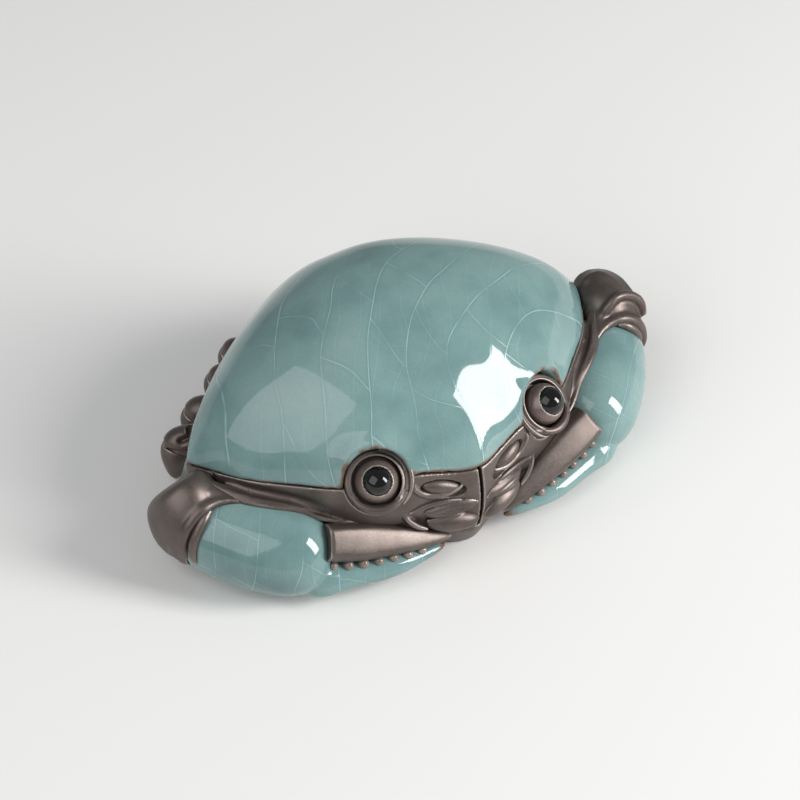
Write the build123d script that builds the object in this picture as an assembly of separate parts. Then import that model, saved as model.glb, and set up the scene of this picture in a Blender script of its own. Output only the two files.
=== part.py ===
from build123d import *
import os
from math import cos, pi, radians, sin

# A crab figurine of dark stoneware with a celadon crackle glaze on its shell and pincers.
# Millimetres. X runs across the crab, -Y is where it faces, +Z is up, and z = 0 is the table.
# Left and right are the crab's own, so its left side lies at +X. The places below are
# measured from the vent's axis; the finished crab is moved to stand centred on the origin.

# Shell and hull
shell_width = 86.0           # corner to corner
shell_front = 29.8           # how far the front notch stands before the origin
shell_back = 30.2            # how far the back rim stands behind it
front_rim_height = 22.4      # the shell's front edge above the table
back_rim_height = 15.0       # the shell's back edge above the table
shell_rise = 24.0            # the dome above the line from front rim to back rim
shell_wall = 3.2             # clay and glaze together
hull_wall = 3.4
rim_overhang = 0.7           # the shell stands this far past the hull
band_height = 5.8            # the clay band between the shell's edge and the pincers
band_lip = 1.0               # how far the band's lower lip stands out
vent_radius = 4.0            # the firing vent in the base
base_trim = 0.45             # ground off the keel, so that it sits flat

# Stations across the shell, as shares: of half the width, of the whole length to the front
# rim and to the back rim, of the front and of the back rim's height, and of the rise
station_shares = (
    (0.0, 0.0, 1.0, 1.0, 1.0, 1.0),
    (0.093, 0.019, 0.996, 1.0, 1.0, 0.997),
    (0.258, 0.056, 0.962, 1.06, 1.0, 0.955),
    (0.5, 0.116, 0.875, 1.02, 1.0, 0.850),
    (0.707, 0.235, 0.770, 0.99, 1.03, 0.660),
    (0.865, 0.345, 0.672, 0.97, 1.07, 0.420),
    (0.951, 0.445, 0.600, 0.92, 1.14, 0.215),
    (0.991, 0.505, 0.556, 0.88, 1.20, 0.095),
    (1.0, 0.525, 0.542, 0.86, 1.23, 0.040),
)
# The dome from front rim to back rim, as shares of the depth and of the rise
dome_shares = (
    (0.0, 0.0), (0.04, 0.20), (0.14, 0.50), (0.31, 0.81), (0.55, 1.0),
    (0.77, 0.92), (0.92, 0.62), (0.985, 0.28), (1.0, 0.0),
)
# The hull at each station: its keel's height as a share of the back rim's, and how far its
# foot is drawn in from the front and from the back, as shares of the station's depth
keel_shares = (
    (0.0, 0.055, 0.16), (0.0, 0.065, 0.16), (0.0, 0.12, 0.17), (0.0, 0.17, 0.19),
    (0.08, 0.21, 0.22), (0.30, 0.26, 0.26), (0.57, 0.30, 0.30), (0.76, 0.34, 0.34),
    (0.82, 0.36, 0.36),
)

# Face: two plates luted to the hull, which meet in a seam and run out along the band
face_thickness = 4.2
face_low_height = 6.5        # its lower edge above the table
face_reach_share = 0.94      # its end, as a share of the shell's half width
seam_width = 0.7
seam_depth = 1.6

# Eyes. Places from here on are shares: across, of the shell's half width, before the
# origin, of the shell's front, and up, of the front rim's height
eye_place_shares = (0.423, 0.792, 1.067)
eye_turn = 24.0              # degrees outwards from straight ahead
eye_lift = 48.0              # degrees above level
eyeball_radius = 3.95
eyeball_sink = 0.7           # the ball's centre below the socket's rim
eyeball_gap = 0.75           # round the ball, in the socket
eyeball_seat = 0.85          # how deep the ball beds into the socket's floor
socket_rim = 1.1             # the rim's breadth
socket_floor = 1.35          # clay under the ball
socket_roll = 0.5            # the rounding of the rim
pupil_radius = 2.75
pupil_stand = 0.87           # the pupil bead above the ball

# Relief on each half of the face: place, then half length, half height and half depth
face_turn = 17.0             # each half of the face slopes back by this many degrees
feeler_shares = (0.158, 0.925, 0.875)
feeler_radii = (4.1, 1.6, 1.5)
feeler_lean = 19.0
feeler_pocket = 0.5          # the pocket round the lobe
jaw_upper_shares = (0.125, 0.955, 0.655)
jaw_upper_radii = (5.6, 1.9, 2.2)
jaw_upper_lean = -6.0
jaw_lower_shares = (0.120, 0.965, 0.485)
jaw_lower_radii = (5.2, 2.2, 2.4)
jaw_lower_lean = 8.0

# Pincers. A limb's rows are shares: along its run, bow out of it of the radius, and radius
wrist_shares = (1.06, 0.14, 0.50)
knuckle_shares = (0.635, 0.755, 0.375)   # where the glazed palm ends
palm_radius = 9.2
palm_flatness_share = 0.96
palm_shares = (
    (0.0, 0.0, 0.60), (0.06, 0.04, 0.80), (0.18, 0.09, 0.91), (0.38, 0.13, 0.985),
    (0.64, 0.13, 1.0), (0.86, 0.08, 0.86), (0.965, 0.02, 0.56), (1.0, 0.0, 0.26),
)
pinch_root_shares = (0.72, 0.72, 0.237)  # the fixed finger, from inside the palm
pinch_tip_shares = (0.147, 0.953, 0.205)
pinch_radius = 5.0
pinch_flatness_share = 0.82
pinch_shares = (
    (0.0, 0.10, 1.0), (0.15, 0.48, 0.76), (0.43, 0.54, 0.57), (0.70, 0.42, 0.42),
    (0.90, 0.16, 0.26), (0.97, 0.05, 0.16), (1.0, 0.0, 0.06),
)
finger_root_shares = (0.67, 0.775, 0.585)   # the clay finger
finger_tip_shares = (0.123, 0.963, 0.28)
finger_radius = 3.7
finger_flatness_share = 0.95
finger_shares = (
    (0.0, 0.0, 0.95), (0.18, 0.02, 1.0), (0.42, 0.04, 0.90), (0.66, 0.04, 0.68),
    (0.86, 0.03, 0.42), (0.96, 0.01, 0.20), (1.0, 0.0, 0.06),
)
tooth_count = 7
tooth_radius = 1.0
first_tooth_share = 0.13     # along the fixed finger
last_tooth_share = 0.80
tooth_lean = 8.0             # degrees to the front of the finger's crest

# Arms: the elbow hoods the wrist, and its tail runs out under the band
elbow_shares = (1.075, 0.107, 0.565)
elbow_radius = 7.3
elbow_flatness_share = 1.40
elbow_half_length = 8.0
ball_shares = (              # a ball as a limb, without a bow
    (0.0, 0.0, 0.10), (0.015, 0.0, 0.25), (0.07, 0.0, 0.51), (0.20, 0.0, 0.80), (0.35, 0.0, 0.954),
    (0.50, 0.0, 1.0), (0.65, 0.0, 0.954), (0.80, 0.0, 0.80), (0.93, 0.0, 0.51), (0.985, 0.0, 0.25),
    (1.0, 0.0, 0.10),
)
tail_tip_shares = (0.89, 0.30, 0.745)
tail_radius = 5.6
tail_shares = ((0.0, 0.0, 1.0), (0.45, 0.0, 0.72), (0.8, 0.0, 0.42), (1.0, 0.0, 0.12))
collar_shares = (            # rows along the palm's own run, of the palm's radius
    (-0.05, -0.02, 0.50), (-0.01, 0.0, 0.80), (0.03, 0.02, 0.88), (0.07, 0.04, 0.88),
    (0.11, 0.06, 0.81),
)

# Walking legs of one side from front to back: across, of the shell's half width, and
# behind the origin, of the shell's back
knee_shares = ((0.89, 0.51), (0.725, 0.68), (0.537, 0.86), (0.402, 1.02))
knee_height = 10.5
knee_radius = 3.0
thigh_root_share = 0.62      # its root, as a share of the knee's way from the origin
thigh_shares = (
    (0.0, 0.0, 0.86), (0.55, 0.0, 0.94), (0.86, 0.0, 1.0), (1.06, 0.0, 0.78),
    (1.16, 0.0, 0.30),
)
pit_radius = 1.4             # the hollow in the crook of each knee
pit_share = 0.80             # along the thigh
shin_radius = 2.6
shin_shares = (
    (0.0, 0.0, 0.80), (0.30, 0.20, 1.0), (0.65, 0.16, 0.72), (0.9, 0.04, 0.42),
    (1.0, 0.0, 0.16),
)
foot_height = 0.6
foot_reach_share = 0.02      # the foot past its knee, as a share of the knee's way out

overrun = 2.0                # cuts pass their part by this
oval_points = 8
half_width = shell_width / 2
shell_length = shell_front + shell_back
socket_hollow_radius = eyeball_radius + eyeball_gap
socket_hollow_depth = eyeball_sink + eyeball_radius - eyeball_seat
socket_radius = socket_hollow_radius + socket_rim
socket_depth = eyeball_sink + eyeball_radius + socket_floor
up = Vector(0, 0, 1)


def spot(shares):
    """A place from its shares across, before the origin and up."""
    across, front, height = shares
    return Vector(half_width * across, -shell_front * front, front_rim_height * height)


def mirrored(shape):
    return mirror(shape, about=Plane.YZ)


def both(shape):
    return [shape, mirrored(shape)]


def carve(raw, *neighbours):
    """What is left of a raw form once its neighbours have taken their room."""
    rest = raw.cut(*neighbours)
    return max(rest.solids(), key=lambda solid: solid.volume)


def oval(centre, run, across, height):
    """A face square to a run, its first point level with the centre."""
    plane = Plane(origin=centre, x_dir=run.cross(up), z_dir=run)
    turns = [2 * pi * i / oval_points for i in range(oval_points)]
    points = [(across * cos(turn), height * sin(turn)) for turn in turns]
    return plane * make_face(Spline(points, periodic=True))


def limb(start, end, rows, radius, flatness=1.0, side=None):
    """A tapered limb from start to end. Each row has shares: along the run, bow out of it
    to one side, and radius."""
    run = end - start
    side = side or up.cross(run).normalized()
    centres = [start + run * along + side * (bow * radius) for along, bow, _ in rows]
    faces = []
    for i, (_, _, size) in enumerate(rows):
        ahead = centres[min(i + 1, len(centres) - 1)] - centres[max(i - 1, 0)]
        faces.append(oval(centres[i], ahead, radius * size, radius * size * flatness))
    return loft(faces)


def row_at(rows, along):
    """A limb's row at any share along its run."""
    low, high = next(pair for pair in zip(rows, rows[1:]) if pair[1][0] >= along)
    share = (along - low[0]) / (high[0] - low[0])
    return [before + (after - before) * share for before, after in zip(low, high)]


def station(row, wall=0.0):
    """One station's x, front y, front z, back y and back z, shrunk by a wall."""
    across, front, back, front_rim, back_rim, _ = row
    middle = shell_length * (front + back) / 2 - shell_front
    half = shell_length * (back - front) / 2 * (1 - 2 * wall / shell_length)
    x = across * (half_width - wall)
    front_z = front_rim_height * front_rim
    return x, middle - half, front_z, middle + half, back_rim_height * back_rim


def across_both_sides(rows):
    """Rows from the right corner through the middle to the left corner, with their side."""
    return [(-1, row) for row in reversed(rows[1:])] + [(1, row) for row in rows]


def dome(wall=0.0):
    """The dome, shrunk by a wall. A shrunk one reaches down past the rim, to cut through."""
    drop = overrun if wall else 0.0
    sections = []
    for side, row in across_both_sides(station_shares):
        x, front_y, front_z, back_y, back_z = station(row, wall)
        rise = row[5] * (shell_rise - wall)
        points = []
        for along, height in dome_shares:
            y = front_y + (back_y - front_y) * along
            z = front_z + (back_z - front_z) * along + rise * height
            points.append((side * x, y, z))
        low_front = (side * x, front_y, front_z - drop)
        low_back = (side * x, back_y, back_z - drop)
        edges = [Spline(points), Line(low_back, low_front)]
        if wall:
            edges += [Line(points[-1], low_back), Line(low_front, points[0])]
        sections.append(make_face(edges))
    return loft(sections)


def hull_form(wall=0.0):
    """The hull filled, shrunk by a wall. Its top reaches up into the dome."""
    sections = []
    for side, (row, keel_row) in across_both_sides(list(zip(station_shares, keel_shares))):
        x, front_y, front_z, back_y, back_z = station(row, wall)
        x *= side
        keel_share, front_share, back_share = keel_row
        depth = back_y - front_y
        fade = depth / shell_length
        slope = (back_z - front_z) / depth
        trim = rim_overhang * fade
        keel = back_rim_height * keel_share - base_trim + wall
        front_top = (x, front_y + trim, front_z + slope * trim + overrun * fade)
        back_top = (x, back_y - trim, back_z - slope * trim + overrun * fade)
        front_foot = (x, front_y + depth * front_share, keel)
        back_foot = (x, back_y - depth * back_share, keel)
        if wall:
            front = Line(front_top, front_foot)
            back = Line(back_foot, back_top)
        else:
            lip = (x, front_y - band_lip * fade, front_z - band_height * fade)
            belly = (x, back_y - depth * back_share / 3, (keel + back_z) / 2)
            front = Spline([front_top, lip, front_foot])
            back = Spline([back_foot, belly, back_top])
        floor = Line(front_foot, back_foot)
        sections.append(make_face([front, floor, back, Line(back_top, front_top)]))
    return loft(sections)


def face_zone():
    """The room of the left face plate: a slab behind the band's front, from the seam out."""
    reach = half_width * face_reach_share
    rows = [row for row in station_shares if row[0] < face_reach_share]
    points = [(row[0] * half_width, shell_length * row[1] - shell_front) for row in rows]
    (x_before, y_before), (x_last, y_last) = points[-2:]
    slope = (y_last - y_before) / (x_last - x_before)
    points.append((reach, y_last + slope * (reach - x_last)))
    back = [(x, y + face_thickness) for x, y in points]
    far = -shell_front - face_thickness
    edges = [Spline(back), Polyline([back[-1], (reach, far), (0, far), back[0]])]
    height = front_rim_height + shell_rise - face_low_height
    return Pos(0, 0, face_low_height) * extrude(make_face(edges), height)


def eye_frame():
    """The left eye's frame: its origin at the rim's centre, its Z along the gaze."""
    return Pos(*spot(eye_place_shares)) * Rot(0, 0, eye_turn) * Rot(90 - eye_lift, 0, 0)


def socket_room(proud=0.0):
    """The room that the left socket takes, drawn out along the gaze by an extra length."""
    centred = (Align.CENTER, Align.CENTER, Align.MIN)
    room = Cylinder(socket_radius, socket_depth + proud, align=centred)
    room = Pos(0, 0, -socket_depth) * room
    return eye_frame() * (room if proud else fillet(room.edges(), socket_roll))


def make_eye():
    frame = eye_frame()
    ball = frame * Pos(0, 0, -eyeball_sink) * Sphere(eyeball_radius)
    pupil_height = eyeball_radius + pupil_stand - pupil_radius - eyeball_sink
    pupil = frame * Pos(0, 0, pupil_height) * Sphere(pupil_radius)
    hollow = frame * Cylinder(socket_hollow_radius, 2 * socket_hollow_depth)
    socket = carve(socket_room(), hollow, ball)
    return {"eye_socket": socket, "eyeball": carve(ball, pupil), "pupil": pupil}


def leaf(shares, radii, lean, grow=0.0):
    """A leaf of clay on the left half of the face. A grown one also stands further out, so
    that it cuts a pocket round the leaf but not behind it."""
    length, height, depth = (radius + grow for radius in radii)
    turned = Pos(*spot(shares)) * Rot(0, 0, face_turn) * Pos(0, -2 * grow, 0)
    return turned * Rot(0, -lean, 0) * scale(Sphere(1), by=(length, depth, height))


def make_face_pieces(hull_room, dome_room, zone, finger, palm):
    """The left face plate, the feeler lobe set in its pocket, and the two jaws on it."""
    reaching_out = (Align.CENTER, Align.MAX, Align.CENTER)
    seam = Box(seam_width, shell_length, 4 * front_rim_height, align=reaching_out)
    seam = Pos(0, seam_depth - shell_front, 0) * seam
    feeler = leaf(feeler_shares, feeler_radii, feeler_lean)
    pocket = leaf(feeler_shares, feeler_radii, feeler_lean, feeler_pocket)
    plate = carve(hull_room & zone, dome_room, socket_room(shell_rise), seam, pocket)
    plate = carve(plate, feeler)
    upper = leaf(jaw_upper_shares, jaw_upper_radii, jaw_upper_lean)
    upper = carve(upper, plate, feeler, finger, palm, seam)
    lower = leaf(jaw_lower_shares, jaw_lower_radii, jaw_lower_lean)
    lower = carve(lower, plate, upper, finger, palm, seam)
    return {"face_plate": plate, "feeler_lobe": feeler, "jaw_upper": upper, "jaw_lower": lower}


def teeth_row(root, tip):
    """Beads of clay seated along the crest of the fixed finger."""
    run = tip - root
    front = up.cross(run).normalized()
    lean = radians(tooth_lean)
    crest = front * sin(lean) + up * (cos(lean) * pinch_flatness_share)
    step = (last_tooth_share - first_tooth_share) / (tooth_count - 1)
    teeth = []
    for i in range(tooth_count):
        along, bow, size = row_at(pinch_shares, first_tooth_share + step * i)
        seat = root + run * along + (front * bow + crest * size) * pinch_radius
        teeth.append(Pos(*seat) * Sphere(tooth_radius))
    return teeth


def make_pincer(hull_room, table):
    """The glazed palm with its fixed finger, the clay finger, and the teeth in the gape."""
    wrist, knuckle = spot(wrist_shares), spot(knuckle_shares)
    palm = limb(wrist, knuckle, palm_shares, palm_radius, palm_flatness_share)
    pinch_root, pinch_tip = spot(pinch_root_shares), spot(pinch_tip_shares)
    palm += limb(pinch_root, pinch_tip, pinch_shares, pinch_radius, pinch_flatness_share)
    palm = carve(palm, hull_room, table)
    finger_root, finger_tip = spot(finger_root_shares), spot(finger_tip_shares)
    finger = limb(finger_root, finger_tip, finger_shares, finger_radius, finger_flatness_share)
    finger = carve(finger, palm, hull_room)
    teeth = teeth_row(pinch_root, pinch_tip)
    teeth = Compound([carve(tooth, palm, finger) for tooth in teeth])
    return {"pincer_palm": palm, "pincer_finger": finger, "pincer_teeth": teeth}


def make_arm(hull_room, dome_room, palm, table):
    """The collar round the palm's near end, and the elbow that hoods both."""
    collar = limb(spot(wrist_shares), spot(knuckle_shares), collar_shares, palm_radius,
        palm_flatness_share)
    collar = carve(collar, palm, hull_room)
    middle = spot(elbow_shares)
    half_run = Vector(0, elbow_half_length, 0)
    ball = limb(middle + half_run, middle - half_run, ball_shares, elbow_radius,
        elbow_flatness_share)
    tail = limb(middle, spot(tail_tip_shares), tail_shares, tail_radius)
    elbow = carve(ball + tail, palm, collar, hull_room, dome_room, table)
    return {"wrist_collar": collar, "elbow": elbow}


def make_leg(knee_place, hull_room, table, neighbours):
    """A thigh out of the hull to its knee, and a shin that folds down from under it."""
    across, back = knee_place
    knee = Vector(half_width * across, shell_back * back, knee_height)
    out = Vector(knee.X, knee.Y, 0)
    root = knee - out * (1 - thigh_root_share)
    pit = root + (knee - root) * pit_share + up * knee_radius
    thigh = limb(root, knee, thigh_shares, knee_radius)
    thigh = carve(thigh, hull_room, Pos(*pit) * Sphere(pit_radius), *neighbours)
    foot = knee + out * foot_reach_share + up * (foot_height - knee_height)
    shin = limb(knee, foot, shin_shares, shin_radius, side=out.normalized())
    return thigh, carve(shin, thigh, hull_room, table, *neighbours)


def make_left_side(hull_room, dome_room, zone, table):
    """Every piece that the crab has twice, for its left side."""
    pieces = {**make_eye(), **make_pincer(hull_room, table)}
    finger, palm = pieces["pincer_finger"], pieces["pincer_palm"]
    pieces |= make_face_pieces(hull_room, dome_room, zone, finger, palm)
    pieces |= make_arm(hull_room, dome_room, palm, table)
    neighbours = [pieces["elbow"]]
    for i, knee_place in enumerate(knee_shares, 1):
        thigh, shin = make_leg(knee_place, hull_room, table, neighbours)
        pieces |= {f"leg_{i}_thigh": thigh, f"leg_{i}_shin": shin}
        neighbours = [thigh, shin]
    return pieces


def make_nodes():
    hull_room, dome_room, zone = hull_form(), dome(), face_zone()
    span = 4 * half_width
    table = Pos(0, 0, -shell_rise / 2) * Box(span, span, shell_rise)
    vent = Cylinder(vent_radius, 4 * hull_wall)
    hull = carve(hull_room, dome_room, hull_form(hull_wall), vent, table, *both(zone),
        *both(socket_room()))
    shell = carve(dome_room, dome(shell_wall), *both(socket_room(shell_rise)))
    nodes = {"hull": hull, "shell": shell}
    for name, piece in make_left_side(hull_room, dome_room, zone, table).items():
        nodes[name + "_left"] = piece
        nodes[name + "_right"] = mirrored(piece)
    return nodes


def centred(nodes):
    """The nodes moved along Y, so that the origin is the middle of their footprint's box."""
    box = Compound(list(nodes.values())).bounding_box()
    middle = (box.min.Y + box.max.Y) / 2
    return {name: Pos(0, -middle, 0) * shape for name, shape in nodes.items()}


nodes = centred(make_nodes())
os.makedirs("parts", exist_ok=True)
for name, shape in nodes.items():
    export_step(shape, f"parts/{name}.step")
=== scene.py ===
import math

import bmesh
import bpy
import numpy as np
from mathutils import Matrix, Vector


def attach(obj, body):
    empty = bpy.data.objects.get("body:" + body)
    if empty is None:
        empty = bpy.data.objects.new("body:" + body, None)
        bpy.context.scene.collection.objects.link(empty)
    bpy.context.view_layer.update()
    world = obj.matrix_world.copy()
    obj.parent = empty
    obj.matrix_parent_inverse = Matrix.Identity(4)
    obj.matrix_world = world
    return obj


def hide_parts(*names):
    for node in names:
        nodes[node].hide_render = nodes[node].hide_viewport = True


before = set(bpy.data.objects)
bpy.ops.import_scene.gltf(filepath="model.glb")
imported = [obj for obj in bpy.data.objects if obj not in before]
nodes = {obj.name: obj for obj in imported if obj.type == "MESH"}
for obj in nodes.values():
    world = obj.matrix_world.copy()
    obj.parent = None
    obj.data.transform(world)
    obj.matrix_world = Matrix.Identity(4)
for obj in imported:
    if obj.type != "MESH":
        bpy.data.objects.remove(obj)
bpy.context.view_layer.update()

scene = bpy.context.scene
mm = 0.001  # sizes below are in millimetres, Blender's are in metres


# Small tools

def hexColour(code):
    channels = [int(code[i:i + 2], 16) / 255 for i in (1, 3, 5)]
    linear = [c / 12.92 if c <= 0.04045 else ((c + 0.055) / 1.055) ** 2.4 for c in channels]
    return (*linear, 1.0)


def addNode(tree, kind, values):
    # values go to the node's settings and sockets; a node or a socket among them is linked
    node = tree.nodes.new("ShaderNode" + kind)
    for name, value in values.items():
        if isinstance(name, str) and hasattr(node, name):
            setattr(node, name, value)
        elif isinstance(value, bpy.types.Node):
            output = next(output for output in value.outputs if output.enabled)
            tree.links.new(output, node.inputs[name])
        elif isinstance(value, bpy.types.NodeSocket):
            tree.links.new(value, node.inputs[name])
        else:
            node.inputs[name].default_value = value
    return node


def newMaterial(name):
    material = bpy.data.materials.new(name)
    material.use_nodes = True
    material.node_tree.nodes.clear()
    return material


def dress(piece, material):
    piece.data.materials.clear()
    piece.data.materials.append(material)
    for polygon in piece.data.polygons:
        polygon.material_index = 0


def meshPoints(mesh):
    points = np.empty(len(mesh.vertices) * 3)
    mesh.vertices.foreach_get("co", points)
    return points.reshape(-1, 3) / mm


def setPoints(mesh, points):
    mesh.vertices.foreach_set("co", (points * mm).ravel())
    mesh.update()


def skinNormals(mesh):
    normals = np.empty(len(mesh.vertices) * 3)
    mesh.vertex_normals.foreach_get("vector", normals)
    return normals.reshape(-1, 3)


def edgeEnds(mesh):
    ends = np.empty(len(mesh.edges) * 2, int)
    mesh.edges.foreach_get("vertices", ends)
    return ends.reshape(-1, 2)


def eased(share):
    # 0 to 1 with a soft start and a soft end
    return share * share * (3 - 2 * share)


def newPiece(name, data):
    piece = bpy.data.objects.new(name, data)
    scene.collection.objects.link(piece)
    return piece


def applied(piece):
    # the piece's modifiers made final
    bpy.context.view_layer.update()
    final = piece.evaluated_get(bpy.context.evaluated_depsgraph_get())
    result = bpy.data.meshes.new_from_object(final)
    piece.modifiers.clear()
    piece.data = result
    return result


def smoothed(piece, rounds, factor=0.5):
    smooth = piece.modifiers.new("smooth", "SMOOTH")
    smooth.iterations = rounds
    smooth.factor = factor
    return smooth


def softCopy(name, node, look, extras, weldGap=0.001):
    # the CAD piece and its extra rolls in one skin, its edges rounded over as wet clay and melted glaze are
    weld = bmesh.new()
    weld.from_mesh(nodes[node].data)
    bmesh.ops.remove_doubles(weld, verts=weld.verts, dist=weldGap * mm)
    for extra in extras:
        weld.from_mesh(extra)
    mesh = bpy.data.meshes.new(name)
    weld.to_mesh(mesh)
    weld.free()
    piece = newPiece(name, mesh)
    remesh = piece.modifiers.new("remesh", "REMESH")
    remesh.mode = "VOXEL"
    remesh.voxel_size = look["voxel"] * mm
    smoothed(piece, look["smoothing"])
    applied(piece).name = name
    return piece


def curved(rows, steps=5):
    # rows of numbers with more rows between them, on a smooth curve through them all
    rows = np.array(rows, float)
    padded = np.vstack([2 * rows[0] - rows[1], rows, 2 * rows[-1] - rows[-2]])
    found = []
    for i in range(len(rows) - 1):
        a, b, c, d = padded[i:i + 4]
        for t in np.arange(steps) / steps:
            found.append(0.5 * (2 * b + (c - a) * t + (2 * a - 5 * b + 4 * c - d) * t ** 2
                + (3 * b - a - 3 * c + d) * t ** 3))
    return np.array(found + [rows[-1]])


def mirrored(place, side):
    # places are written for the crab's right side, at -X, and mirrored for its left, where side is 1
    x, y, z = place
    return x * -side, y, z


def onSide(path, side):
    return [mirrored(place, side) for place in path]


def rope(path, radii, turns=10):
    # a closed tube of clay through the points of a path
    points = [Vector(point) for point in path]
    rings = []
    build = bmesh.new()
    for i, (point, radius) in enumerate(zip(points, radii)):
        run = (points[min(i + 1, len(points) - 1)] - points[max(i - 1, 0)]).normalized()
        side = run.orthogonal().normalized()
        over = run.cross(side)
        ring = []
        for turn in range(turns):
            angle = 2 * math.pi * turn / turns
            place = point + (side * math.cos(angle) + over * math.sin(angle)) * radius
            ring.append(build.verts.new(place * mm))
        rings.append(ring)
    for before, after in zip(rings, rings[1:]):
        offset = min(range(turns), key=lambda shift: (after[shift].co - before[0].co).length)
        after[:] = after[offset:] + after[:offset]
        for turn in range(turns):
            build.faces.new((before[turn], before[turn - 1], after[turn - 1], after[turn]))
    build.faces.new(rings[0])
    build.faces.new(list(reversed(rings[-1])))
    bmesh.ops.recalc_face_normals(build, faces=build.faces)
    mesh = bpy.data.meshes.new("rope")
    build.to_mesh(mesh)
    build.free()
    return mesh


def roll(path, radii, thinnest=0.15):
    # a rope on a smooth curve through a few places, with its half thickness in mm at each of them
    rows = curved([(*point, radius) for point, radius in zip(path, radii)])
    return rope(rows[:, :3], np.maximum(rows[:, 3], thinnest))


def distanceTo(points, path):
    # how far each point lies from a path, and how far along the path its nearest place is
    nearest = np.full(len(points), np.inf)
    share = np.zeros(len(points))
    for i, (low, high) in enumerate(zip(path, path[1:])):
        run = high - low
        along = np.clip((points - low) @ run / (run @ run), 0, 1)
        gap = np.linalg.norm(points - low - along[:, None] * run, axis=1)
        closer = gap < nearest
        nearest[closer] = gap[closer]
        share[closer] = (i + along[closer]) / (len(path) - 1)
    return nearest, share


def press(piece, path, width, depth, taper, heading=None):
    # pushes the skin in along a path; a depth below 0 raises it, along one heading where that is given
    points = meshPoints(piece.data)
    gap, share = distanceTo(points, path)
    amount = depth * np.exp(-(gap / width) ** 2)
    if taper:
        amount *= np.clip(np.minimum(share, 1 - share) / taper, 0, 1)
    push = skinNormals(piece.data) if heading is None else np.array(heading)
    setPoints(piece.data, points - push * amount[:, None])


def soften(piece, path, reach, rounds):
    # rubs a fold away along a path, fading out to nothing at the reach
    gap, _ = distanceTo(meshPoints(piece.data), curved(path))
    share = np.round(eased(np.clip(1 - gap / reach, 0, 1)), 1)
    group = piece.vertex_groups.new(name="soft")
    for level in np.unique(share):
        group.add(np.flatnonzero(share == level).tolist(), float(level), "REPLACE")
    smoothed(piece, rounds).vertex_group = "soft"
    name = piece.data.name
    applied(piece).name = name
    piece.vertex_groups.clear()


def flatten(piece, path, limits, facing, give):
    # presses the skin softly towards a limit above an axis, on the side that faces one way
    points = meshPoints(piece.data)
    facing = np.array(facing) / np.linalg.norm(facing)
    rows = curved([(*point, limit) for point, limit in zip(path, limits)])
    corners = rows[:, :3]
    run = corners[-1] - corners[0]
    along = np.clip((points - corners[0]) @ run / (run @ run), 0, 1)
    knots = (corners - corners[0]) @ run / (run @ run)
    axis = np.column_stack([np.interp(along, knots, corners[:, i]) for i in range(3)])
    height = (points - axis) @ facing
    over = np.maximum(height - np.interp(along, knots, rows[:, 3]), 0)
    kept = give * (1 - np.exp(-over / give))
    setPoints(piece.data, points - (over - kept)[:, None] * facing)


def lumps(piece, depth, sizes, seed=7):
    # the slight unevenness of a form that was finished by hand, inwards only
    points = meshPoints(piece.data)
    rng = np.random.default_rng(seed)
    total = np.zeros(len(points))
    for size in sizes:
        heading = rng.normal(size=3)
        heading /= np.linalg.norm(heading)
        total += 0.5 + 0.5 * np.sin(points @ heading * 2 * math.pi / size + rng.uniform(0, 6))
    setPoints(piece.data, points - skinNormals(piece.data) * (total * depth / len(sizes))[:, None])


def markEdges(piece, low, high, passes=5, own=0.4):
    # an attribute that is 1 on sharp outer edges, where glaze runs thin and clay is rubbed, and where the
    # bare clay gets a painted highlight; in each pass a point keeps its own share of the value and takes the
    # rest from the points beside it
    mesh = piece.data
    points, normals = meshPoints(mesh), skinNormals(mesh)
    first, second = edgeEnds(mesh).T
    run = points[second] - points[first]
    length = np.linalg.norm(run, axis=1) + 1e-9  # never 0, since it divides
    bend = ((normals[second] - normals[first]) * run).sum(1) / length ** 2
    total, count = np.zeros(len(points)), np.zeros(len(points))
    for ends in (first, second):
        np.add.at(total, ends, bend)
        np.add.at(count, ends, 1)
    value = total / np.maximum(count, 1)
    for _ in range(passes):
        spread = np.zeros(len(points))
        np.add.at(spread, first, value[second])
        np.add.at(spread, second, value[first])
        value = own * value + (1 - own) * spread / np.maximum(count, 1)
    share = eased(np.clip((value - low) / (high - low), 0, 1))
    wear = mesh.attributes.new("wear", "FLOAT", "POINT")
    wear.data.foreach_set("value", share.astype(np.float32))


def standFor(piece, node, material):
    dress(piece, material)
    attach(piece, "root")
    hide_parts(node)


# Celadon crackle glaze

glaze = {
    "deep": "#607C7D",            # where it lies thick, in patches of the cloud
    "body": "#769492",            # celadon's grey blue green
    "thin": "#889F9B",            # milky, where it lies thin, in patches of the cloud
    "stops": (0.25, 0.52, 0.80),  # the cloud's levels at which it is deep, body and thin
    "cloud": 14.0,                # mm, the size of a cloud in the colour
    "speck": 0.35,                # mm, fine mottling
    "speckShade": (0.94, 1.05),   # how dark and how light a speck is
    "patch": 7.0,                 # mm, the patches in which cracks and thin rims come and go
    "crackLight": "#A9C0BC",
    "crackDark": "#5F8084",
    "crackWidth": 0.14,           # mm, a little over the real one so that it shows
    "crackShade": 0.9,            # mm, the darker glaze beside a crack
    "crackSeen": (0.36, 0.6),     # the patch's levels at which a crack is faint and full
    "crackFaint": 0.12,           # the share that is left of a faint crack
    "crossShare": 0.7,            # the strength of a cross crack beside a long one
    "lightShare": 0.85,           # how much of its light and dark a full crack shows
    "darkShare": 0.45,
    "crackDepth": 0.04,           # mm
    "crackBump": 0.25,
    "edge": "#664631",            # iron of the clay burning through at a thin rim
    "edgeSeen": (0.3, 0.6),       # the patch's levels at which a rim is weak and strong
    "edgeShare": (0.3, 1.3),      # how weak and how strong
    "roughness": 0.06,
    "ior": 1.52,
}
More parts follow.
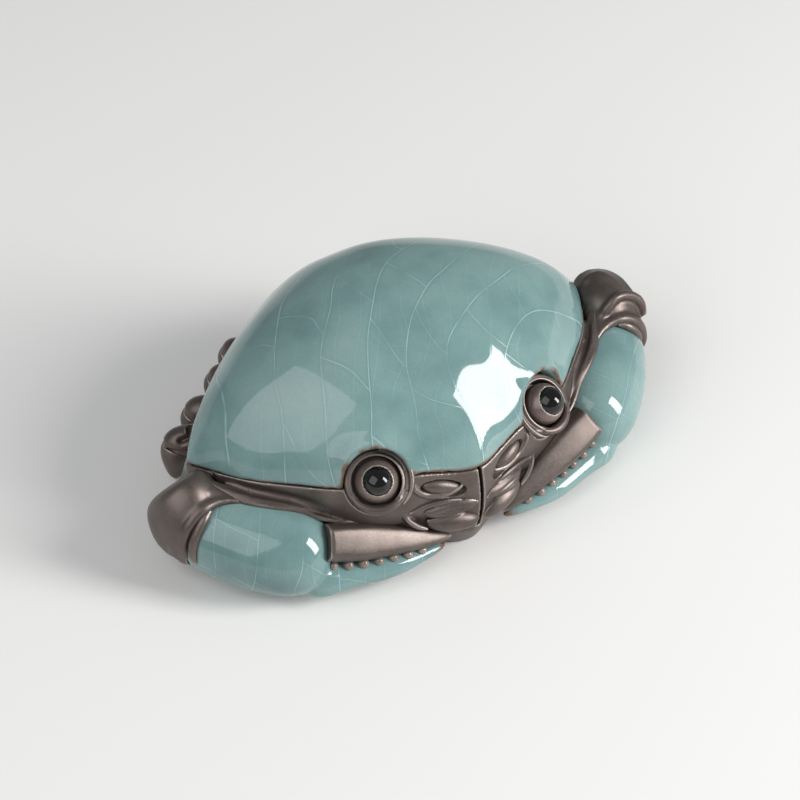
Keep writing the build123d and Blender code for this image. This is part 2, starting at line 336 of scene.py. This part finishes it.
shellCracks = {
    "strength": 1.0,
    "centre": (34.0, -34.0),      # the long cracks bend round this place
    "row": 8.5,                   # mm from one long crack to the next
    "step": 13.0,                 # mm from one cross crack to the next, at the reach
    "reach": 42.0,                # mm from the centre
    "drift": 38.0,                # mm, the size of a bend in a crack
    "bend": 2.2,                  # how many rows a crack may wander
    "slant": 0.35,                # how many steps a cross crack leans over one row
    "jump": 7.0,                  # how many steps one row's cross cracks may be shifted
    "rise": 0.0,                  # how much of the height counts, for the steep sides
}
clawCracks = {
    **shellCracks, "strength": 0.8, "centre": (99.0, -87.0), "row": 8.0, "step": 9.0, "reach": 120.0,
    "drift": 26.0, "bend": 1.1, "rise": 1.2,
}
fineCracks = {
    **shellCracks, "strength": 0.2, "centre": (-91.0, 61.0), "row": 3.8, "step": 6.0, "reach": 110.0,
    "drift": 17.0, "rise": 0.8,
}


def crackDistances(tree, place, net):
    # mm to the nearest long crack, an arc bent round a centre, and to the nearest cross crack between arcs
    x, y = net["centre"]
    fromCentre = addNode(tree, "VectorMath", {
        "operation": "SUBTRACT", 0: place, 1: (x * mm, y * mm, 0.0)})
    flat = addNode(tree, "VectorMath", {
        "operation": "MULTIPLY", 0: fromCentre, 1: (1.0, 1.0, net["rise"])})
    reach = addNode(tree, "VectorMath", {"operation": "LENGTH", 0: flat}).outputs["Value"]
    split = addNode(tree, "SeparateXYZ", {0: flat})
    depth = addNode(tree, "Math", {"operation": "ADD", 0: split.outputs["Y"], 1: split.outputs["Z"]})
    turn = addNode(tree, "Math", {"operation": "ARCTAN2", 0: depth, 1: split.outputs["X"]})
    drift = addNode(tree, "TexNoise", {"Scale": 1 / (net["drift"] * mm), "Detail": 1.5, "Vector": place})
    bend = addNode(tree, "SeparateColor", {0: drift.outputs["Color"]})
    wander = addNode(tree, "Math", {"operation": "MULTIPLY", 0: bend.outputs[0], 1: net["bend"]})
    rows = addNode(tree, "Math", {
        "operation": "MULTIPLY_ADD", 0: reach, 1: 1 / (net["row"] * mm), 2: wander})
    row = addNode(tree, "Math", {"operation": "FLOOR", 0: rows})
    rowShare = addNode(tree, "Math", {"operation": "FRACT", 0: rows})
    chance = addNode(tree, "TexWhiteNoise", {"noise_dimensions": "1D", "W": row})
    shift = addNode(tree, "Math", {"operation": "MULTIPLY_ADD", 0: chance, 1: net["jump"], 2: wander})
    slant = addNode(tree, "Math", {"operation": "MULTIPLY_ADD", 0: rowShare, 1: net["slant"], 2: shift})
    steps = addNode(tree, "Math", {
        "operation": "MULTIPLY_ADD", 0: turn, 1: net["reach"] / net["step"], 2: slant})
    stepShare = addNode(tree, "Math", {"operation": "FRACT", 0: steps})
    distances = []
    for share, size in ((rowShare, net["row"]), (stepShare, net["step"])):
        fromMiddle = addNode(tree, "Math", {"operation": "SUBTRACT", 0: share, 1: 0.5})
        offset = addNode(tree, "Math", {"operation": "ABSOLUTE", 0: fromMiddle})
        distances.append(addNode(tree, "Math", {
            "operation": "MULTIPLY_ADD", 0: offset, 1: -size, 2: size / 2}))
    return distances


def crackMarks(tree, place, nets, patch):
    # how much of a light line and of a dark shade the cracks of all nets leave at a place
    faint, full = glaze["crackSeen"]
    line = shade = 0.0
    for net in nets:
        strengths = (net["strength"], glaze["crossShare"] * net["strength"])
        for distance, strength in zip(crackDistances(tree, place, net), strengths):
            seen = addNode(tree, "MapRange", {
                "From Min": faint, "From Max": full, "To Min": glaze["crackFaint"] * strength,
                "To Max": strength, "Value": patch})
            marks = []
            for width in (glaze["crackWidth"], glaze["crackShade"]):
                near = addNode(tree, "MapRange", {
                    "interpolation_type": "SMOOTHSTEP", "From Min": width, "From Max": 0.0,
                    "To Min": 0.0, "To Max": 1.0, "Value": distance})
                marks.append(addNode(tree, "Math", {"operation": "MULTIPLY", 0: near, 1: seen}))
            line = addNode(tree, "Math", {"operation": "MAXIMUM", 0: marks[0], 1: line})
            shade = addNode(tree, "Math", {"operation": "MAXIMUM", 0: marks[1], 1: shade})
    return line, shade


def crackleGlaze(name, nets):
    # celadon, fired glossy over dark clay: glassy reflections over a milky blue green, cut by crazing
    material = newMaterial(name)
    tree = material.node_tree
    place = addNode(tree, "TexCoord", {}).outputs["Object"]
    cloud = addNode(tree, "TexNoise", {
        "Scale": 1 / (glaze["cloud"] * mm), "Detail": 3.0, "Roughness": 0.5, "Vector": place})
    speck = addNode(tree, "TexNoise", {
        "Scale": 1 / (glaze["speck"] * mm), "Detail": 2.0, "Roughness": 0.7, "Vector": place})
    patch = addNode(tree, "TexNoise", {"Scale": 1 / (glaze["patch"] * mm), "Detail": 2.0, "Vector": place})
    line, shade = crackMarks(tree, place, nets, patch)
    mottle = addNode(tree, "ValToRGB", {"Fac": cloud})
    low, middle, high = glaze["stops"]
    stops = mottle.color_ramp.elements
    stops[0].position, stops[0].color = low, hexColour(glaze["deep"])
    stops[1].position, stops[1].color = high, hexColour(glaze["thin"])
    stops.new(middle).color = hexColour(glaze["body"])
    darkest, lightest = glaze["speckShade"]
    fine = addNode(tree, "MapRange", {
        "From Min": 0.3, "From Max": 0.7, "To Min": darkest, "To Max": lightest, "Value": speck})
    base = addNode(tree, "VectorMath", {"operation": "SCALE", 0: mottle, "Scale": fine})
    darkShare = addNode(tree, "Math", {"operation": "MULTIPLY", 0: shade, 1: glaze["darkShare"]})
    dark = addNode(tree, "Mix", {
        "data_type": "RGBA", 0: darkShare, 6: base, 7: hexColour(glaze["crackDark"])})
    lightShare = addNode(tree, "Math", {"operation": "MULTIPLY", 0: line, 1: glaze["lightShare"]})
    pale = addNode(tree, "Mix", {
        "data_type": "RGBA", 0: lightShare, 6: dark, 7: hexColour(glaze["crackLight"])})
    wear = addNode(tree, "Attribute", {"attribute_name": "wear"})
    weak, strong = glaze["edgeSeen"]
    weakest, strongest = glaze["edgeShare"]
    patchy = addNode(tree, "MapRange", {
        "From Min": weak, "From Max": strong, "To Min": weakest, "To Max": strongest, "Value": patch})
    burnt = addNode(tree, "Math", {
        "operation": "MULTIPLY", "use_clamp": True, 0: wear.outputs["Fac"], 1: patchy})
    rim = addNode(tree, "Mix", {"data_type": "RGBA", 0: burnt, 6: pale, 7: hexColour(glaze["edge"])})
    bump = addNode(tree, "Bump", {
        "Strength": glaze["crackBump"], "Distance": -glaze["crackDepth"] * mm, "Height": line})
    shader = addNode(tree, "BsdfPrincipled", {
        "Roughness": glaze["roughness"], "IOR": glaze["ior"], "Base Color": rim, "Normal": bump})
    addNode(tree, "OutputMaterial", {"Surface": shader})
    return material


# Bare iron clay

clay = {
    "body": "#483E3A",            # iron stoneware, fired dark
    "light": "#7C716B",
    "patch": 6.0,                 # mm, the size of a lighter patch
    "rubbed": "#A0968F",          # edges that the potter's sponge wiped, lightened further as a painted highlight
    "roughness": 0.38,
    "roughShare": (0.85, 1.25),   # how much smoother and rougher the grain makes it
    "metallic": 0.72,             # the fired iron skin glints like old bronze
    "ior": 1.5,
    "grain": 0.35,                # mm
    "grainShare": 0.6,            # how much of the grain is mixed into the patches
    "grainDepth": 0.02,           # mm
    "grainBump": 0.6,
}
eyeballClay = {**clay, "body": "#6B5A55", "light": "#8C7C76", "roughness": 0.3, "metallic": 0.5}


def ironClay(name, tone):
    # iron stoneware, pressed and fired bare: a satin bronze sheen over fine grain
    material = newMaterial(name)
    tree = material.node_tree
    place = addNode(tree, "TexCoord", {}).outputs["Object"]
    patch = addNode(tree, "TexNoise", {"Scale": 1 / (tone["patch"] * mm), "Detail": 3.0, "Vector": place})
    grain = addNode(tree, "TexNoise", {
        "Scale": 1 / (tone["grain"] * mm), "Detail": 3.0, "Roughness": 0.7, "Vector": place})
    fine = addNode(tree, "Math", {
        "operation": "MULTIPLY_ADD", 0: grain, 1: tone["grainShare"], 2: -tone["grainShare"] / 2})
    mixed = addNode(tree, "Math", {"operation": "ADD", "use_clamp": True, 0: patch, 1: fine})
    fired = addNode(tree, "Mix", {
        "data_type": "RGBA", 0: mixed, 6: hexColour(tone["body"]), 7: hexColour(tone["light"])})
    # the sharp edges take this lighter colour, partly real rubbing and partly a painted highlight
    wear = addNode(tree, "Attribute", {"attribute_name": "wear"})
    rubbed = addNode(tree, "Mix", {
        "data_type": "RGBA", 0: wear.outputs["Fac"], 6: fired, 7: hexColour(tone["rubbed"])})
    smoother, rougher = tone["roughShare"]
    rough = addNode(tree, "MapRange", {
        "From Min": 0.3, "From Max": 0.7, "To Min": smoother * tone["roughness"],
        "To Max": rougher * tone["roughness"], "Value": grain})
    bump = addNode(tree, "Bump", {
        "Strength": tone["grainBump"], "Distance": tone["grainDepth"] * mm, "Height": grain})
    shader = addNode(tree, "BsdfPrincipled", {
        "Metallic": tone["metallic"], "IOR": tone["ior"], "Base Color": rubbed, "Roughness": rough,
        "Normal": bump})
    addNode(tree, "OutputMaterial", {"Surface": shader})
    return material


# Glazed beads

pupilBead = {
    "dark": "#050505",
    "light": "#120F0F",
    "swirl": 1.5,                 # mm, the size of a swirl of the two
    "roughness": 0.03,
    "ior": 1.52,
}
# the teeth's own dark brown swirled with a far paler tone, a painted highlight that stands in for their
# glints
toothBeadWithPaintedGlints = {**pupilBead, "dark": "#54443B", "light": "#A09186"}


def beadGlaze(name, bead):
    # a bead under thick clear glaze: a wet body with a sharp window reflection
    material = newMaterial(name)
    tree = material.node_tree
    place = addNode(tree, "TexCoord", {}).outputs["Object"]
    swirl = addNode(tree, "TexNoise", {"Scale": 1 / (bead["swirl"] * mm), "Vector": place})
    body = addNode(tree, "Mix", {
        "data_type": "RGBA", 0: swirl, 6: hexColour(bead["dark"]), 7: hexColour(bead["light"])})
    shader = addNode(tree, "BsdfPrincipled", {
        "Roughness": bead["roughness"], "IOR": bead["ior"], "Base Color": body})
    addNode(tree, "OutputMaterial", {"Surface": shader})
    return material


shellGlaze = crackleGlaze("celadonCrackleGlazeShell", (shellCracks, fineCracks))
clawGlaze = crackleGlaze("celadonCrackleGlazeClaw", (clawCracks, fineCracks))
bareClay = ironClay("ironStonewareFired", clay)
eyeClay = ironClay("ironStonewareEye", eyeballClay)
pupilGlaze = beadGlaze("blackIronGlazeBead", pupilBead)
toothGlazeWithPaintedGlints = beadGlaze("clearGlazeOverIronClay", toothBeadWithPaintedGlints)
print("stage 1: materials made")

# Pieces, each with its look and the hand work on it. Rolls are added clay, and their radii are half
# thicknesses. Grooves are pressed in, and a taper is the share at each end over which they fade

bare = {"slot": "stoneware", "material": bareClay}
shell = {
    "slot": "celadon_glaze",
    "material": shellGlaze,
    "voxel": 0.45,                # mm, the fineness of a piece's skin
    "smoothing": 8,               # rounds
    "edges": (0.32, 0.75),        # 1/mm, curvatures where wear and painted edge highlight begin and are full
    "lumps": {"depth": 0.22, "sizes": (9.0, 13.0, 17.0, 26.0)},
    "brow": {
        # the middle line that is rubbed smooth
        "path": (
            (0.0, -12.0, 39.4), (0.0, -17.5, 37.0), (0.0, -20.1, 35.4), (0.0, -22.6, 33.4),
            (0.0, -25.6, 30.6)),
        "reach": 10.0,
        "rounds": 350,
    },
    "grooves": (
        # the swell of glaze beside each eye, raised along a heading of its own
        {
            "path": (
                (-13.0, -23.6, 30.1), (-15.3, -22.7, 30.1), (-17.9, -21.7, 29.9), (-20.8, -20.9, 29.0),
                (-23.0, -21.3, 26.2), (-24.8, -21.2, 23.8)),
            "width": 2.1, "depth": -0.9, "taper": 0.3, "heading": (-0.42, -0.72, 0.55),
        },
    ),
}
hull = {
    **bare,
    "voxel": 0.6,
    "smoothing": 3,
    "edges": (0.6, 1.5),
}
facePlate = {
    **bare,
    "voxel": 0.2,
    "smoothing": 6,
    "edges": (0.5, 1.6),
    "rolls": (
        # the band's ledge
        {
            "path": (
                (-42.6, -5.2, 20.0), (-39.6, -9.4, 19.0), (-36.8, -12.8, 18.5), (-32.4, -16.2, 17.7),
                (-28.6, -19.2, 16.4), (-26.4, -20.9, 15.4)),
            "radii": (0.6, 1.3, 1.5, 1.5, 1.1, 0.4),
        },
        # the band's ridge
        {
            "path": (
                (-43.0, -5.4, 20.6), (-40.6, -9.0, 19.5), (-38.4, -12.6, 18.8), (-34.8, -15.9, 18.4),
                (-30.6, -18.6, 17.2), (-27.2, -21.4, 15.9), (-24.4, -23.2, 15.2)),
            "radii": (0.4, 0.6, 0.7, 0.7, 0.7, 0.6, 0.35),
        },
        # the lip under the feeler
        {
            "path": (
                (-11.6, -27.3, 22.8), (-12.1, -28.0, 21.2), (-9.9, -28.8, 19.0), (-6.5, -30.2, 18.8),
                (-3.6, -30.7, 19.6)),
            "radii": (0.3, 0.6, 0.7, 0.6, 0.3),
        },
        # the flap beside the jaws
        {
            "path": ((-14.4, -27.2, 15.4), (-13.4, -28.1, 13.4), (-12.0, -28.9, 11.8), (-10.2, -29.6, 10.6)),
            "radii": (0.3, 0.6, 0.6, 0.3),
        },
    ),
    "grooves": (
        # along the band, above its ridge
        {
            "path": (
                (-42.4, -5.0, 21.2), (-39.0, -9.2, 20.3), (-35.8, -13.0, 20.0), (-30.6, -17.4, 19.2),
                (-25.8, -21.4, 17.8)),
            "width": 0.9, "depth": 0.7, "taper": 0.3,
        },
    ),
}
eyeSocket = {
    **bare,
    "voxel": 0.15,
    "smoothing": 5,
    "edges": (0.7, 2.2),
    "arcs": (
        # the thin inner ring, the lid and the pouch: mm from the gaze, half thickness, the angles where
        # each starts and ends, 0 towards the crab's middle and 90 up, and mm along the gaze
        {"reach": 4.75, "thickness": 0.22, "start": 0, "end": 360, "lift": -0.1},
        {"reach": 6.35, "thickness": 0.62, "start": -65, "end": 80, "lift": -0.15},
        {"reach": 5.2, "thickness": 0.9, "start": 180, "end": 315, "lift": -0.3},
    ),
    "crease": {"reach": 5.45, "thickness": 0.3, "start": -60, "end": 75, "lift": 0.2},
    "creaseDepth": 0.6,
    "creaseTaper": 0.15,
}
eyeball = {
    "slot": "eye_clay",
    "material": eyeClay,
    "voxel": 0.15,
    "smoothing": 5,
    "edges": (0.8, 2.0),
}
pupil = {
    "slot": "black_glaze",
    "material": pupilGlaze,
    "voxel": 0.12,
    "smoothing": 5,
    "edges": (0.8, 2.0),
}
feelerLobe = {
    **bare,
    "voxel": 0.12,
    "smoothing": 4,
    "edges": (0.9, 2.4),
}
jawUpper = {
    **bare,
    "voxel": 0.14,
    "smoothing": 4,
    "edges": (0.9, 2.4),
    "rolls": (
        # along its upper edge
        {
            "path": ((-13.2, -28.0, 15.2), (-10.2, -29.0, 16.4), (-6.4, -30.2, 16.7), (-2.8, -31.2, 16.0)),
            "radii": (0.3, 0.6, 0.6, 0.2),
        },
    ),
    "grooves": (
        # along its middle
        {
            "path": ((-12.0, -29.2, 13.9), (-8.6, -31.2, 15.0), (-2.5, -32.6, 14.6)),
            "width": 0.5, "depth": 0.5, "taper": 0.15,
        },
    ),
}
jawLower = {
    **bare,
    "voxel": 0.14,
    "smoothing": 4,
    "edges": (0.9, 2.4),
    "rolls": (
        # along its upper edge
        {
            "path": ((-10.0, -29.0, 12.2), (-7.9, -30.2, 12.8), (-5.2, -30.9, 12.9), (-2.6, -31.0, 12.2)),
            "radii": (0.3, 0.6, 0.5, 0.2),
        },
    ),
}
pincerPalm = {
    "slot": "celadon_glaze",
    "material": clawGlaze,
    "voxel": 0.3,
    "smoothing": 9,
    "edges": (0.35, 0.9),
    "lumps": {"depth": 0.2, "sizes": (7.0, 11.0, 16.0)},
}
pincerFinger = {
    **bare,
    "voxel": 0.16,
    "smoothing": 6,
    "edges": (0.5, 1.6),
    "rolls": (
        # its crest
        {
            "path": (
                (-27.4, -23.0, 15.2), (-23.6, -23.3, 14.9), (-18.4, -24.9, 13.1), (-12.9, -26.6, 10.8),
                (-8.4, -28.3, 8.7), (-6.0, -29.4, 7.1)),
            "radii": (0.35, 0.55, 0.55, 0.5, 0.45, 0.3),
        },
    ),
    "flat": {
        # its axis, how far the flat side stands above it, the way that side faces, and how soft it is
        "path": (
            (-28.3, -24.5, 13.0), (-24.1, -25.5, 11.7), (-18.9, -26.8, 10.2), (-13.3, -28.1, 8.6),
            (-8.6, -29.2, 7.3), (-6.0, -29.8, 6.5)),
        "limits": (2.2, 2.3, 2.1, 1.6, 1.0, 0.5),
        "facing": (-0.25, -0.62, 0.74),
        "give": 0.4,
    },
}
pincerTeeth = {
    "slot": "celadon_glaze",
    "material": toothGlazeWithPaintedGlints,
    "voxel": 0.1,
    "smoothing": 3,
    "edges": (3.0, 5.0),
}
wristCollar = {
    **bare,
    "voxel": 0.2,
    "smoothing": 5,
    "edges": (0.5, 1.6),
    "rollsRight": (
        # its ridge, which reaches further down than the left one
        {
            "path": (
                (-44.8, -11.0, 18.9), (-46.7, -11.8, 18.0), (-48.3, -12.3, 16.3), (-49.5, -12.7, 14.2),
                (-50.1, -13.3, 11.9), (-49.9, -13.8, 9.9)),
            "radii": (0.4, 0.9, 1.0, 1.0, 0.8, 0.4),
        },
    ),
    "rollsLeft": (
        {
            "path": (
                (-44.8, -11.0, 18.9), (-46.7, -11.8, 18.0), (-48.1, -12.2, 16.3), (-49.0, -12.4, 14.2),
                (-49.1, -12.6, 12.0)),
            "radii": (0.4, 0.8, 0.9, 0.8, 0.4),
        },
    ),
}
elbow = {
    **bare,
    "voxel": 0.3,
    "smoothing": 14,
    "edges": (0.5, 1.6),
    "rolls": (
        # the web that runs out under the band
        {
            "path": (
                (-47.4, -4.8, 17.0), (-45.2, -6.0, 18.3), (-43.2, -7.8, 18.7), (-41.2, -9.8, 18.6),
                (-38.6, -12.4, 18.4)),
            "radii": (4.4, 3.3, 2.3, 1.4, 0.5),
        },
        # the lip over the collar
        {
            "path": (
                (-39.2, -12.0, 18.8), (-41.4, -10.9, 19.2), (-43.7, -10.3, 19.3), (-46.0, -10.4, 19.2),
                (-48.0, -10.6, 18.2), (-49.6, -10.8, 16.5), (-50.6, -10.9, 14.2), (-50.9, -11.1, 11.6),
                (-50.3, -11.3, 9.2)),
            "radii": (0.4, 0.7, 1.0, 1.2, 1.2, 1.2, 1.2, 1.1, 0.7),
        },
        # the fill behind that lip
        {
            "path": ((-49.0, -8.6, 16.6), (-50.6, -8.9, 13.6), (-51.0, -9.2, 10.6), (-50.4, -9.2, 7.8)),
            "radii": (1.2, 1.8, 1.8, 1.2),
        },
    ),
    "rollsLeft": (
        # a bulge that stands higher than the right one
        {
            "path": (
                (-43.5, -1.0, 16.6), (-46.0, -1.0, 17.4), (-47.6, -3.0, 17.3), (-48.5, -5.2, 17.0),
                (-49.1, -7.2, 16.4)),
            "radii": (3.4, 5.5, 5.6, 4.8, 4.0),
        },
        # a second fold
        {
            "path": (
                (-41.6, -8.4, 18.8), (-43.8, -8.4, 21.3), (-46.4, -8.0, 22.7), (-49.4, -7.8, 21.7),
                (-51.8, -8.4, 19.2), (-52.3, -9.6, 16.2)),
            "radii": (0.5, 0.9, 0.9, 1.0, 1.0, 0.6),
        },
    ),
    "flatRight": {
        "path": ((-54.0, -4.4, 12.7), (-46.2, -4.4, 12.7), (-38.0, -4.4, 12.7)),
        "limits": (2.4, 3.0, 5.5),
        "facing": (-0.17, 0.82, 0.55),
        "give": 3.4,
    },
}
thigh = {
    **bare,
    "voxel": 0.16,
    "smoothing": 5,
    "edges": (0.6, 1.8),
}
firstThigh = {
    **thigh,
    "grooves": (
        # the pit on the knee
        {
            "path": ((-38.4, 12.0, 12.6), (-37.4, 11.8, 12.9), (-36.6, 12.0, 13.0)),
            "width": 0.75, "depth": 0.9, "taper": 0.0,
        },
        # the crease below it
        {
            "path": ((-41.0, 13.9, 10.0), (-40.2, 12.0, 10.3), (-38.6, 10.9, 10.4), (-36.6, 10.4, 10.4)),
            "width": 0.45, "depth": 0.6, "taper": 0.1,
        },
    ),
}
shin = {
    **bare,
    "voxel": 0.16,
    "smoothing": 5,
    "edges": (0.6, 1.8),
}
looks = {
    # by a node's name without its side, or for most parts of the legs by its last word
    "shell": shell,
    "hull": hull,
    "face_plate": facePlate,
    "eye_socket": eyeSocket,
    "eyeball": eyeball,
    "pupil": pupil,
    "feeler_lobe": feelerLobe,
    "jaw_upper": jawUpper,
    "jaw_lower": jawLower,
    "pincer_palm": pincerPalm,
    "pincer_finger": pincerFinger,
    "pincer_teeth": pincerTeeth,
    "wrist_collar": wristCollar,
    "elbow": elbow,
    "leg_1_thigh": firstThigh,
    "thigh": thigh,
    "shin": shin,
}
eyePlace = (18.19, -24.86, 23.90)  # the middle of the left socket's rim
eyeGaze = (0.272, -0.611, 0.743)


def eyeArc(side, reach, thickness, start, end, lift, turns=36, thinnest=0.15, swelling=0.6):
    # a path round the eye and its half thickness, which thins towards the ends of an open arc
    middle = Vector((eyePlace[0] * side, *eyePlace[1:]))
    gaze = Vector((eyeGaze[0] * side, *eyeGaze[1:])).normalized()
    across = Vector((-side, 0, 0))
    inwards = (across - gaze * gaze.dot(across)).normalized()
    upwards = gaze.cross(inwards)
    if upwards.z < 0:
        upwards.negate()
    path, radii = [], []
    for i in range(turns + 1):
        share = i / turns
        angle = math.radians(start + (end - start) * share)
        path.append(middle + gaze * lift + (inwards * math.cos(angle) + upwards * math.sin(angle)) * reach)
        thinning = 1 if end - start >= 360 else max(math.sin(math.pi * share), thinnest) ** swelling
        radii.append(thickness * thinning)
    return path, radii


def camelName(node):
    first, *others = node.split("_")
    return first + "".join(word.capitalize() for word in others)


def makePiece(node):
    kind = node.removesuffix("_left").removesuffix("_right")
    look = looks.get(kind) or looks[kind.split("_")[-1]]
    side, word = (1, "Left") if node.endswith("_left") else (-1, "Right")
    rolls = look.get("rolls", ()) + look.get("rolls" + word, ())
    extras = [roll(onSide(each["path"], side), each["radii"]) for each in rolls]
    extras += [rope(*eyeArc(side, **arc)) for arc in look.get("arcs", ())]
    piece = softCopy(camelName(node), node, look, extras)
    if "brow" in look:
        soften(piece, **look["brow"])
    for groove in look.get("grooves", ()):
        for each in (side,) if kind != node else (-1, 1):
            path = curved(onSide(groove["path"], each))
            heading = mirrored(groove["heading"], each) if "heading" in groove else None
            press(piece, path, groove["width"], groove["depth"], groove["taper"], heading)
    if "crease" in look:
        path, _ = eyeArc(side, **look["crease"])
        width = look["crease"]["thickness"]
        press(piece, np.array(path, float), width, look["creaseDepth"], look["creaseTaper"])
    flat = look.get("flat") or look.get("flat" + word)
    if flat:
        facing = mirrored(flat["facing"], side)
        flatten(piece, onSide(flat["path"], side), flat["limits"], facing, flat["give"])
    if "lumps" in look:
        lumps(piece, **look["lumps"])
    for polygon in piece.data.polygons:
        polygon.use_smooth = True
    markEdges(piece, *look["edges"])
    standFor(piece, node, look["material"])


for node in nodes:
    makePiece(node)
print("stage 2: pieces made")

# Floor, lights and camera

floorPaper = {
    "colour": "#EDEBE8",
    "size": 4000.0,               # mm
    "roughness": 0.8,
}
lamps = {
    # in mm where each stands, what it faces and its size across and down; its power in watts
    "window": {
        "place": (505.6, -525.6, 389.6), "target": (0.0, -20.0, 25.0), "across": 256.0, "down": 560.0,
        "power": 7.4,
    },
    "panel": {
        "place": (-586.0, -126.0, 592.0), "target": (-10.0, 0.0, 25.0), "across": 828.0, "down": 828.0,
        "power": 3.7,
    },
}
room = {
    "colour": "#DCE3E8",          # an even cool light from all round
    "strength": 0.34,
}
view = {
    "azimuth": -34.0,
    "elevation": 47.0,
    "distance": 500.0,
    "lens": 123.75,
    "sensor": 36.0,
    "clip": (10.0, 20000.0),      # mm, the nearest and the farthest that it sees
    "eyes": (0.0, -24.76, 23.5),  # halfway between the two eyes
    "right": -11.36,              # the frame's middle from there, across and up the picture
    "up": 7.55,
}


def makeFloor():
    # matt paper: an even pale ground that keeps a soft shadow
    size = floorPaper["size"] * mm / 2
    corners = [(-size, -size, 0), (size, -size, 0), (size, size, 0), (-size, size, 0)]
    mesh = bpy.data.meshes.new("floor")
    mesh.from_pydata(corners, [], [(0, 1, 2, 3)])
    floor = newPiece("floor", mesh)
    material = newMaterial("paperFloor")
    tree = material.node_tree
    shader = addNode(tree, "BsdfPrincipled", {
        "Base Color": hexColour(floorPaper["colour"]), "Roughness": floorPaper["roughness"]})
    addNode(tree, "OutputMaterial", {"Surface": shader})
    dress(floor, material)


def makeLamp(name, lamp):
    data = bpy.data.lights.new(name, "AREA")
    data.shape = "RECTANGLE"
    data.size = lamp["across"] * mm
    data.size_y = lamp["down"] * mm
    data.energy = lamp["power"]
    place, target = Vector(lamp["place"]), Vector(lamp["target"])
    stand = newPiece(name, data)
    stand.location = place * mm
    stand.rotation_mode = "QUATERNION"
    stand.rotation_quaternion = (target - place).to_track_quat("-Z", "Y")


def makeWorld():
    world = bpy.data.worlds.new("studio")
    world.use_nodes = True
    world.node_tree.nodes.clear()
    glow = addNode(world.node_tree, "Background", {
        "Color": hexColour(room["colour"]), "Strength": room["strength"]})
    addNode(world.node_tree, "OutputWorld", {"Surface": glow})
    scene.world = world


def makeCamera():
    a, e = math.radians(view["azimuth"]), math.radians(view["elevation"])
    right = Vector((math.cos(a), math.sin(a), 0))
    up = Vector((-math.sin(e) * math.sin(a), math.sin(e) * math.cos(a), math.cos(e)))
    back = Vector((math.sin(a) * math.cos(e), -math.cos(a) * math.cos(e), math.sin(e)))
    eyes = Vector(view["eyes"])
    middle = eyes + right * view["right"] + up * view["up"]
    data = bpy.data.cameras.new("camera")
    data.lens = view["lens"]
    data.sensor_width = view["sensor"]
    near, far = view["clip"]
    data.clip_start = near * mm
    data.clip_end = far * mm
    camera = newPiece("camera", data)
    camera.location = (eyes + back * view["distance"]) * mm
    camera.rotation_mode = "QUATERNION"
    camera.rotation_quaternion = (middle - eyes - back * view["distance"]).to_track_quat("-Z", "Y")
    scene.camera = camera


makeFloor()
for name, lamp in lamps.items():
    makeLamp(name, lamp)
makeWorld()
makeCamera()
scene.view_settings.view_transform = "Standard"
print("stage 3: studio made")
